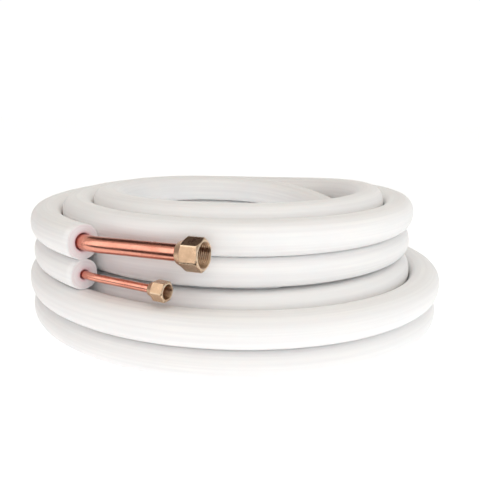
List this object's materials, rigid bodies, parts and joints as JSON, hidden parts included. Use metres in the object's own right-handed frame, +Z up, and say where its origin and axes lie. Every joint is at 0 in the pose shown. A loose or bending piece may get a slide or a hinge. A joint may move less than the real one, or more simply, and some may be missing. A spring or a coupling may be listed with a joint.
{
  "type": "mini split line set",
  "caption": "Coil of paired copper refrigerant pipes in white foam jackets, with a brass flare nut swivelling on each pipe end.",
  "frame": {"origin": "centre of the base of the bounding box, on the floor that the coil lies on", "axes": "+Z up along the coil's axis, -Y towards the side where the front pipe ends leave the coil, +X to the right seen from there"},
  "size_m": [0.3968, 0.4368, 0.1224],
  "materials": {
    "foam": "white closed-cell foam skin, faint sheen",
    "copper": "bright drawn copper",
    "brass": "machined brass"
  },
  "bodies": {
    "coil": {"large_jacket": "foam", "small_jacket": "foam", "large_pipe": "copper", "small_pipe": "copper"},
    "large_front_nut": {"large_front_nut": "brass"},
    "small_front_nut": {"small_front_nut": "brass"},
    "large_rear_nut": {"large_rear_nut": "brass"},
    "small_rear_nut": {"small_rear_nut": "brass"}
  },
  "joints": [
    {"name": "large_front_swivel", "type": "hinge", "parent": "coil", "child": "large_front_nut", "pos_m": [-0.01975, -0.2038, 0.094], "axis": [0.9264, -0.3749, 0.0349], "continuous": true},
    {"name": "small_front_swivel", "type": "hinge", "parent": "coil", "child": "small_front_nut", "pos_m": [-0.0443, -0.1987, 0.0646], "axis": [0.8986, -0.4388, 0], "continuous": true},
    {"name": "large_rear_swivel", "type": "hinge", "parent": "coil", "child": "large_rear_nut", "pos_m": [0.01682, 0.20367, 0.0383], "axis": [0.9055, 0.4243, 0], "continuous": true},
    {"name": "small_rear_swivel", "type": "hinge", "parent": "coil", "child": "small_rear_nut", "pos_m": [-0.00537, 0.19328, 0.012], "axis": [0.9055, 0.4243, 0], "continuous": true}
  ]
}
